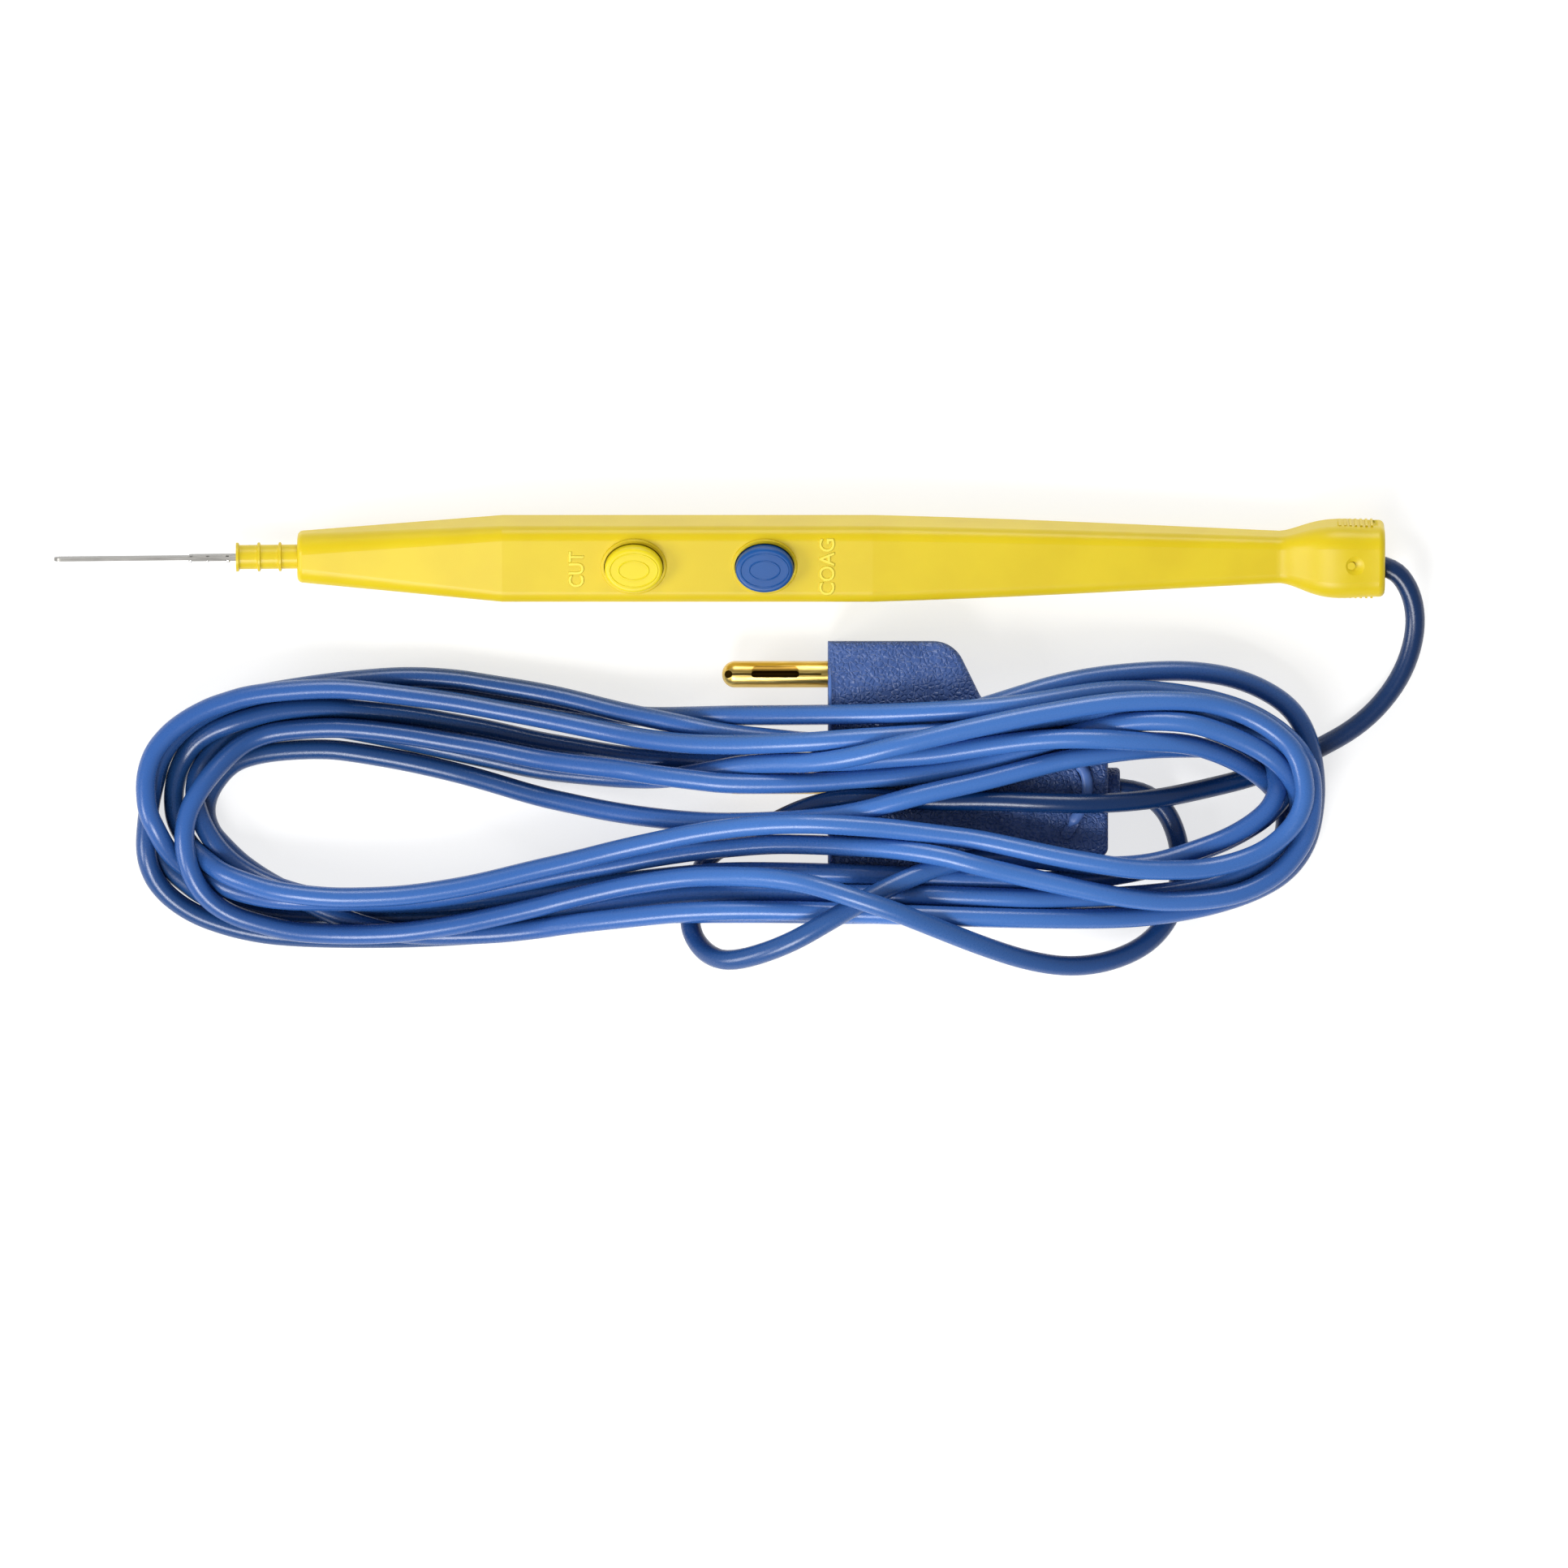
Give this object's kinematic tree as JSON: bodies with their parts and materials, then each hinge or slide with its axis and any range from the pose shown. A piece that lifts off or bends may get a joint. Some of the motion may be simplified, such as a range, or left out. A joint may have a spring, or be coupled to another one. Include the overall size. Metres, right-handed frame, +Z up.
{
  "type": "electrosurgical pencil",
  "caption": "Hand-held electrosurgical pencil with a blade electrode, two push buttons and a coiled cord that ends in a flat plug with round pins",
  "frame": {"origin": "bottom centre of the pencil itself, with its electrode and without the free cord and plug", "axes": "+X runs along the handle from the electrode to the cord's exit, +Z is up from the table, +Y points away from the coiled cord"},
  "size_m": [0.2114, 0.0708, 0.021],
  "materials": {
    "yellow_plastic": "satin moulded",
    "yellow_button": "satin moulded",
    "blue_button": "satin moulded",
    "silicone": "soft translucent",
    "spring_steel": "rolled sheet",
    "board": "solder mask",
    "plain_brass": "turned",
    "steel": "ground",
    "wire_blue": "extruded",
    "wire_yellow": "extruded",
    "wire_white": "extruded",
    "cord_jacket": "extruded satin",
    "blue_plastic": "fine grained",
    "gilt_brass": "gold-coloured plating"
  },
  "bodies": {
    "handle": {"upper_housing": "yellow_plastic", "lower_housing": "yellow_plastic", "cut_seal": "silicone", "coag_seal": "silicone", "cut_dome": "spring_steel", "coag_dome": "spring_steel", "switch_board": "board", "electrode_socket": "plain_brass", "cord_clamp": "spring_steel", "active_wire": "wire_blue", "cut_wire": "wire_yellow", "coag_wire": "wire_white", "cord_lead": "cord_jacket", "cord_hank": "cord_jacket", "cord_small_loop": "cord_jacket", "cord_plug_lead": "cord_jacket", "plug_cover": "blue_plastic", "plug_base": "blue_plastic", "plug_grommet": "blue_plastic", "active_pin": "gilt_brass", "cut_pin": "gilt_brass", "coag_pin": "gilt_brass", "active_plug_wire": "wire_blue", "cut_plug_wire": "wire_yellow", "coag_plug_wire": "wire_white"},
    "cut_key": {"cut_button": "yellow_button"},
    "coag_key": {"coag_button": "blue_button"},
    "electrode": {"blade_electrode": "steel", "electrode_sleeve": "yellow_plastic"}
  },
  "joints": [
    {"name": "cut_press", "type": "slide", "parent": "handle", "child": "cut_key", "axis": [0, 0.2419, -0.9703], "range_m": [0, 0.0006], "stiffness_N_per_m": 1500, "springref_m": -0.0004, "deforming": ["cut_seal", "cut_dome"]},
    {"name": "coag_press", "type": "slide", "parent": "handle", "child": "coag_key", "axis": [0, 0.2419, -0.9703], "range_m": [0, 0.0006], "stiffness_N_per_m": 1500, "springref_m": -0.0004, "deforming": ["coag_seal", "coag_dome"]},
    {"name": "electrode_pull", "type": "slide", "parent": "handle", "child": "electrode", "axis": [-0.9999, -0.0102, -0.0025], "range_m": [0, 0.024]}
  ]
}
